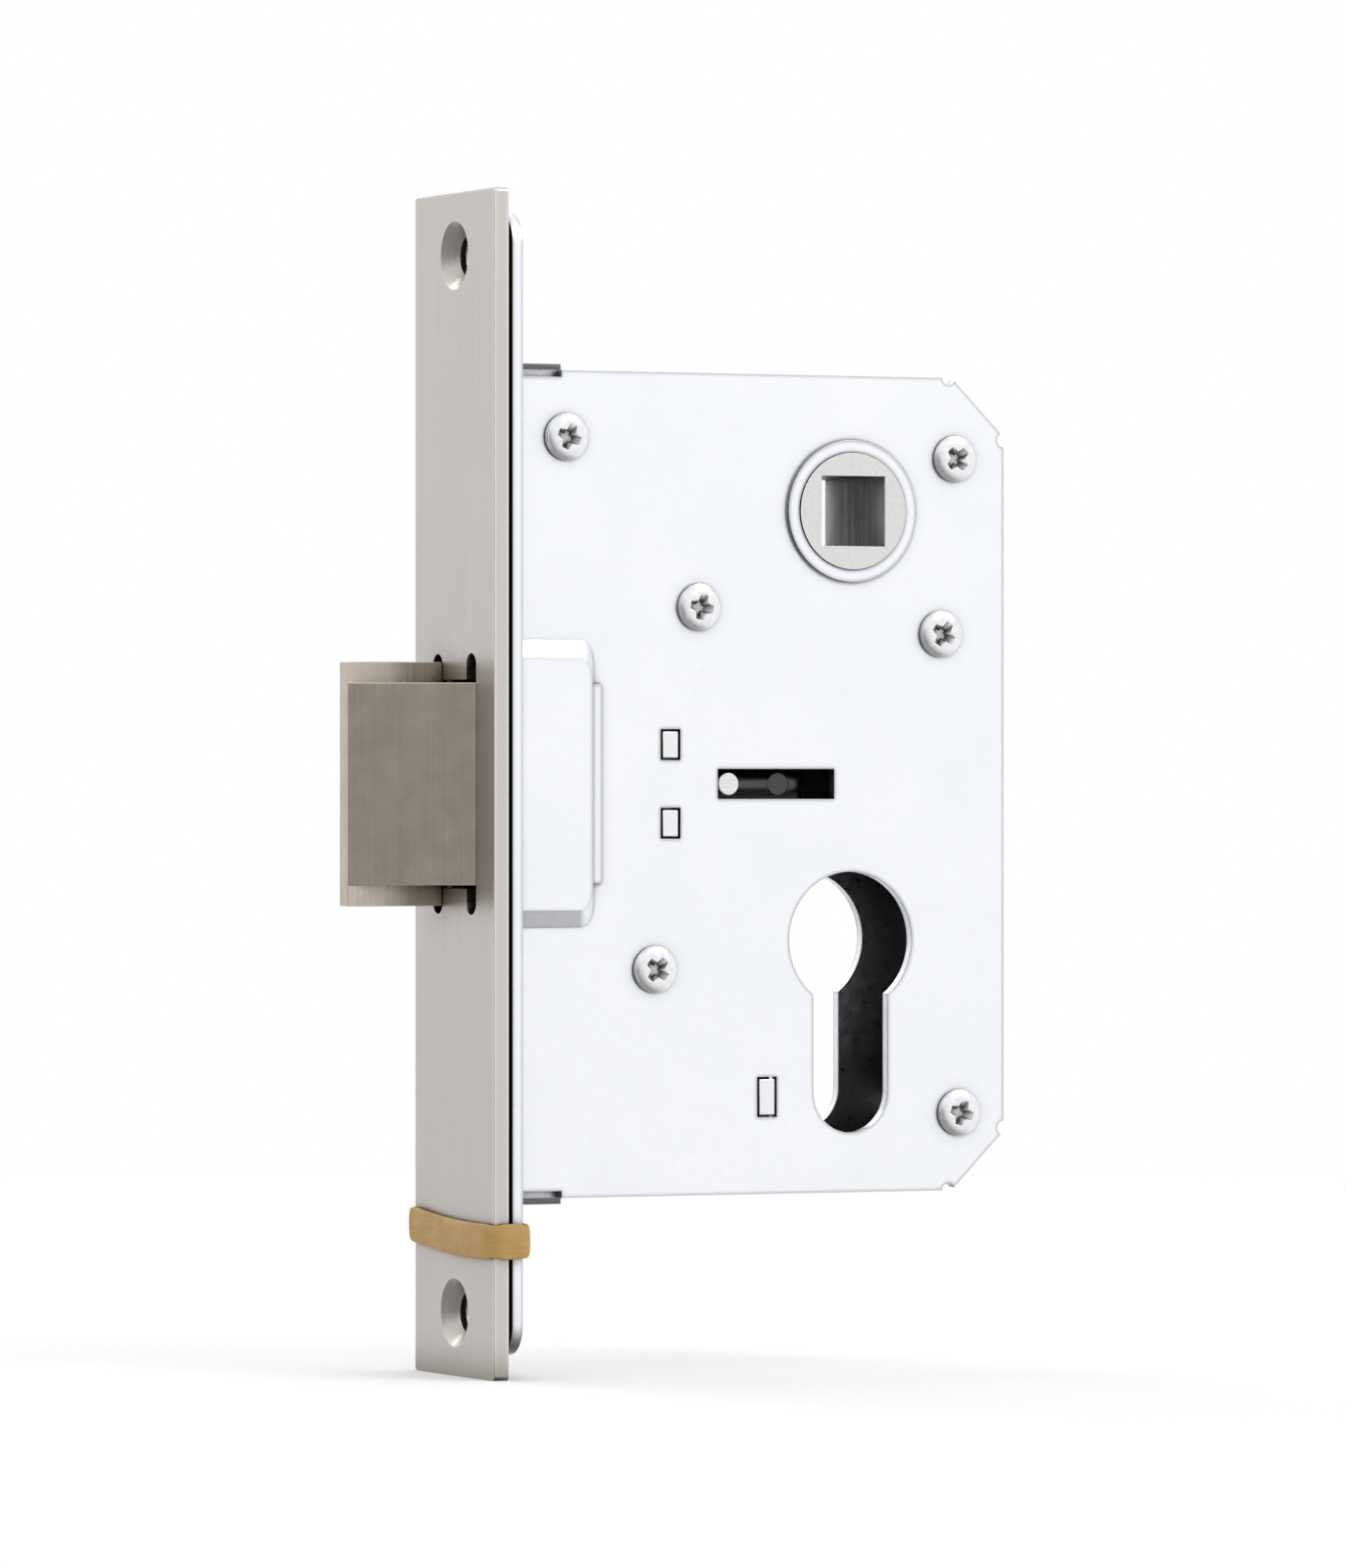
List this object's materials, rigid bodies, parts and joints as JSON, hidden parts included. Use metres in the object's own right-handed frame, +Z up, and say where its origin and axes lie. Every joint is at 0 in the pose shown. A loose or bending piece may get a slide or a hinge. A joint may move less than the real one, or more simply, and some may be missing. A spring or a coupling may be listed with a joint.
{
  "type": "mortise lock",
  "caption": "Mortise latch lock: screwed steel case, loose faceplate held by a rubber band, bevelled spring latch, square follower and a keyhole for a profile cylinder.",
  "frame": {"origin": "middle of the two fixing holes, on the front of the faceplate", "axes": "+X into the door, so the latch points along -X; +Y from the screwed cover to the tray, across the door's thickness; +Z up"},
  "size_m": [0.087, 0.0274, 0.15],
  "materials": {
    "stainless": "satin, fine grain along its length",
    "zinc_plate": "bright blue-white zinc plating, smooth",
    "zinc_screw": "bright zinc plating",
    "machined_steel": "turned steel",
    "latch_nickel": "dull nickel plating on a cast bolt",
    "hub_zinc": "sintered and zinc plated",
    "spring_steel": "drawn wire",
    "band_rubber": "natural rubber, tan"
  },
  "bodies": {
    "case": {"case_tray": "zinc_plate", "cover_plate": "zinc_plate", "inner_forend": "zinc_plate", "faceplate": "stainless", "forend_lug_top": "zinc_plate", "forend_lug_bottom": "zinc_plate", "forend_rivets": "zinc_plate", "case_pillars": "machined_steel", "lever_pivot_pillar": "machined_steel", "cover_screws": "zinc_screw", "latch_guide_bracket": "zinc_plate", "cylinder_screw_guide": "zinc_plate", "follower_stop_pin": "machined_steel", "latch_spring": "spring_steel", "follower_spring": "spring_steel", "rubber_band": "band_rubber"},
    "follower": {"follower_hub": "hub_zinc"},
    "lever": {"handle_lever": "zinc_plate"},
    "latch": {"latch_head": "latch_nickel", "latch_tail_rod": "machined_steel", "latch_tail_plate": "zinc_plate", "guide_pin": "machined_steel", "tail_rivet": "machined_steel"}
  },
  "joints": [
    {"name": "latch_slide", "type": "slide", "parent": "case", "child": "latch", "axis": [1, 0, 0], "range_m": [0, 0.013], "stiffness_N_per_m": 600, "springref_m": -0.01, "deforming": ["latch_spring"]},
    {"name": "follower_turn", "type": "hinge", "parent": "case", "child": "follower", "pos_m": [0.052, 0, 0.035], "axis": [0, 1, 0], "range_deg": [0, 45], "deforming": ["follower_spring"]},
    {"name": "lever_turn", "type": "hinge", "parent": "case", "child": "lever", "pos_m": [0.0304, 0, 0.0225], "axis": [0, 1, 0], "range_deg": [-40.37, 0]}
  ],
  "couplings": [
    {"joint": "follower_turn", "follows": "latch_slide", "rad_per_m": 60.415},
    {"joint": "lever_turn", "follows": "latch_slide", "rad_per_m": -54.185}
  ]
}
